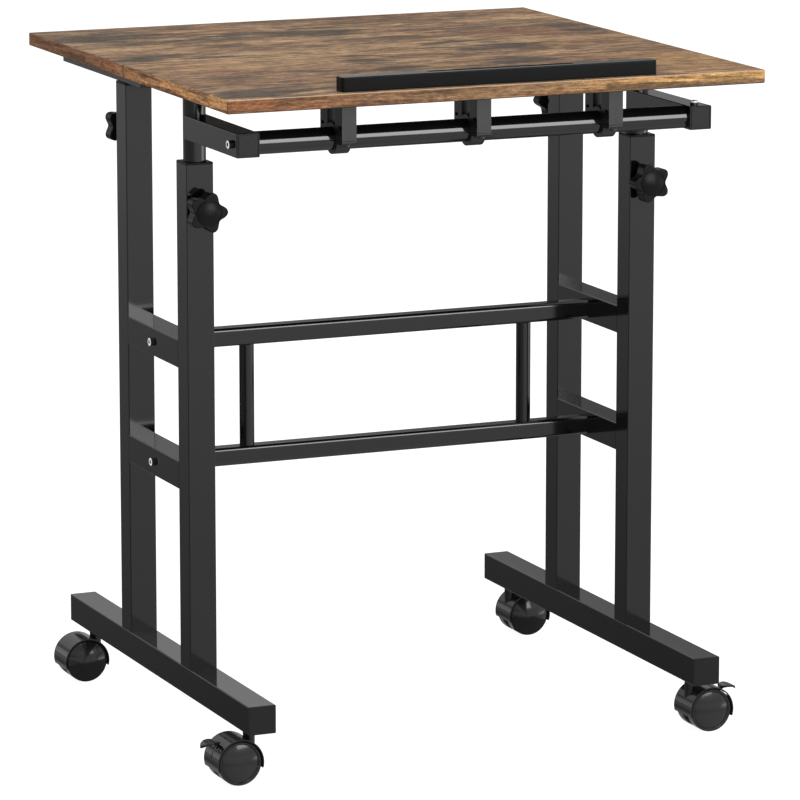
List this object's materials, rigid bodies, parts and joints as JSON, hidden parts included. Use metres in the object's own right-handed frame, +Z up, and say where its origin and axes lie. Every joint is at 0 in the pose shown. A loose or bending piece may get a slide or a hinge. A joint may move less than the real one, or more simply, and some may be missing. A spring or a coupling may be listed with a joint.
{
  "type": "height-adjustable desk",
  "caption": "Rolling desk on telescoping posts with a two-board wooden top; the front board tilts on a tube and has a ledge, and the casters carry brake pedals.",
  "frame": {"origin": "on the floor under the middle of the desk's bounding box", "axes": "+X to the user's right, +Y away from the user to the rear edge, +Z up"},
  "size_m": [0.6172, 0.6, 0.735],
  "materials": {
    "wood_laminate": "rustic brown laminate, satin",
    "black_powder_coat": "satin black powder coat",
    "black_plastic": "fine-grained black plastic",
    "caster_plastic": "glossy black nylon",
    "bright_steel": "bright zinc-plated steel",
    "black_steel": "blackened steel screws"
  },
  "bodies": {
    "stand": {"foot_tube_left": "black_powder_coat", "foot_tube_right": "black_powder_coat", "foot_end_caps": "black_plastic", "outer_post_front_left": "black_powder_coat", "outer_post_front_right": "black_powder_coat", "outer_post_rear_left": "black_powder_coat", "outer_post_rear_right": "black_powder_coat", "post_collars": "black_plastic", "rungs_left": "black_powder_coat", "rungs_right": "black_powder_coat", "crossbar_lower": "black_powder_coat", "crossbar_upper": "black_powder_coat", "crossbar_inserts": "bright_steel", "crossbar_bolts": "bright_steel", "tie_rods": "black_powder_coat", "frame_nuts": "bright_steel", "caster_stems": "bright_steel"},
    "front_lift": {"inner_post_front_left": "black_powder_coat", "inner_post_front_right": "black_powder_coat", "front_post_caps": "black_plastic", "front_arm_left": "black_powder_coat", "front_arm_right": "black_powder_coat", "front_arm_caps": "black_plastic", "tilt_tube": "black_powder_coat", "tilt_tube_spindles": "bright_steel", "tilt_tube_bolts": "bright_steel"},
    "rear_lift": {"rear_board": "wood_laminate", "rear_board_screws": "bright_steel", "rear_arm_left": "black_powder_coat", "rear_arm_right": "black_powder_coat", "rear_arm_caps": "black_plastic", "inner_post_rear_left": "black_powder_coat", "inner_post_rear_right": "black_powder_coat"},
    "front_board_tilt": {"front_board": "wood_laminate", "front_board_screws": "black_steel", "ledge": "black_plastic", "clip_upper_halves": "black_plastic", "clip_lower_halves": "black_plastic"},
    "knob_front_left": {"knob_front_left": "black_plastic"},
    "caster_front_left": {"caster_front_left_hood": "caster_plastic", "caster_front_left_axle": "bright_steel"},
    "caster_front_left_wheel_a": {"caster_front_left_wheel_a": "caster_plastic"},
    "caster_front_left_wheel_b": {"caster_front_left_wheel_b": "caster_plastic"},
    "brake_pedal_left": {"brake_pedal_left": "caster_plastic"},
    "knob_front_right": {"knob_front_right": "black_plastic"},
    "caster_front_right": {"caster_front_right_hood": "caster_plastic", "caster_front_right_axle": "bright_steel"},
    "caster_front_right_wheel_a": {"caster_front_right_wheel_a": "caster_plastic"},
    "caster_front_right_wheel_b": {"caster_front_right_wheel_b": "caster_plastic"},
    "brake_pedal_right": {"brake_pedal_right": "caster_plastic"},
    "knob_rear_left": {"knob_rear_left": "black_plastic"},
    "caster_rear_left": {"caster_rear_left_hood": "caster_plastic", "caster_rear_left_axle": "bright_steel"},
    "caster_rear_left_wheel_a": {"caster_rear_left_wheel_a": "caster_plastic"},
    "caster_rear_left_wheel_b": {"caster_rear_left_wheel_b": "caster_plastic"},
    "knob_rear_right": {"knob_rear_right": "black_plastic"},
    "caster_rear_right": {"caster_rear_right_hood": "caster_plastic", "caster_rear_right_axle": "bright_steel"},
    "caster_rear_right_wheel_a": {"caster_rear_right_wheel_a": "caster_plastic"},
    "caster_rear_right_wheel_b": {"caster_rear_right_wheel_b": "caster_plastic"}
  },
  "joints": [
    {"name": "front_lift_slide", "type": "slide", "parent": "stand", "child": "front_lift", "axis": [0, 0, 1], "range_m": [-0.0225, 0.4]},
    {"name": "rear_lift_slide", "type": "slide", "parent": "stand", "child": "rear_lift", "axis": [0, 0, 1], "range_m": [0, 0.4]},
    {"name": "front_board_tilt_hinge", "type": "hinge", "parent": "front_lift", "child": "front_board_tilt", "pos_m": [0, -0.226, 0.6645], "axis": [1, 0, 0], "range_deg": [0, 80]},
    {"name": "knob_front_left_turn", "type": "hinge", "parent": "stand", "child": "knob_front_left", "pos_m": [-0.255, -0.105, 0.579], "axis": [0, -1, 0], "range_deg": [0, 540]},
    {"name": "caster_front_left_swivel", "type": "hinge", "parent": "stand", "child": "caster_front_left", "pos_m": [-0.255, -0.233, 0.045], "axis": [0, 0, 1], "continuous": true},
    {"name": "caster_front_left_wheel_a_spin", "type": "hinge", "parent": "caster_front_left", "child": "caster_front_left_wheel_a", "pos_m": [-0.2715, -0.233, 0.0235], "axis": [0, 1, 0], "continuous": true},
    {"name": "caster_front_left_wheel_b_spin", "type": "hinge", "parent": "caster_front_left", "child": "caster_front_left_wheel_b", "pos_m": [-0.2715, -0.233, 0.0235], "axis": [0, 1, 0], "continuous": true},
    {"name": "brake_pedal_left_press", "type": "hinge", "parent": "caster_front_left", "child": "brake_pedal_left", "pos_m": [-0.2855, -0.233, 0.0385], "axis": [0, -1, 0], "range_deg": [0, 18]},
    {"name": "knob_front_right_turn", "type": "hinge", "parent": "stand", "child": "knob_front_right", "pos_m": [0.255, -0.105, 0.579], "axis": [0, -1, 0], "range_deg": [0, 540]},
    {"name": "caster_front_right_swivel", "type": "hinge", "parent": "stand", "child": "caster_front_right", "pos_m": [0.255, -0.233, 0.045], "axis": [0, 0, 1], "continuous": true},
    {"name": "caster_front_right_wheel_a_spin", "type": "hinge", "parent": "caster_front_right", "child": "caster_front_right_wheel_a", "pos_m": [0.2715, -0.233, 0.0235], "axis": [0, 1, 0], "continuous": true},
    {"name": "caster_front_right_wheel_b_spin", "type": "hinge", "parent": "caster_front_right", "child": "caster_front_right_wheel_b", "pos_m": [0.2715, -0.233, 0.0235], "axis": [0, 1, 0], "continuous": true},
    {"name": "brake_pedal_right_press", "type": "hinge", "parent": "caster_front_right", "child": "brake_pedal_right", "pos_m": [0.2855, -0.233, 0.0385], "axis": [0, 1, 0], "range_deg": [0, 18]},
    {"name": "knob_rear_left_turn", "type": "hinge", "parent": "stand", "child": "knob_rear_left", "pos_m": [-0.255, 0.105, 0.6375], "axis": [0, 1, 0], "range_deg": [0, 540]},
    {"name": "caster_rear_left_swivel", "type": "hinge", "parent": "stand", "child": "caster_rear_left", "pos_m": [-0.255, 0.233, 0.045], "axis": [0, 0, 1], "continuous": true},
    {"name": "caster_rear_left_wheel_a_spin", "type": "hinge", "parent": "caster_rear_left", "child": "caster_rear_left_wheel_a", "pos_m": [-0.2715, 0.233, 0.0235], "axis": [0, 1, 0], "continuous": true},
    {"name": "caster_rear_left_wheel_b_spin", "type": "hinge", "parent": "caster_rear_left", "child": "caster_rear_left_wheel_b", "pos_m": [-0.2715, 0.233, 0.0235], "axis": [0, 1, 0], "continuous": true},
    {"name": "knob_rear_right_turn", "type": "hinge", "parent": "stand", "child": "knob_rear_right", "pos_m": [0.255, 0.105, 0.6375], "axis": [0, 1, 0], "range_deg": [0, 540]},
    {"name": "caster_rear_right_swivel", "type": "hinge", "parent": "stand", "child": "caster_rear_right", "pos_m": [0.255, 0.233, 0.045], "axis": [0, 0, 1], "continuous": true},
    {"name": "caster_rear_right_wheel_a_spin", "type": "hinge", "parent": "caster_rear_right", "child": "caster_rear_right_wheel_a", "pos_m": [0.2715, 0.233, 0.0235], "axis": [0, 1, 0], "continuous": true},
    {"name": "caster_rear_right_wheel_b_spin", "type": "hinge", "parent": "caster_rear_right", "child": "caster_rear_right_wheel_b", "pos_m": [0.2715, 0.233, 0.0235], "axis": [0, 1, 0], "continuous": true}
  ]
}
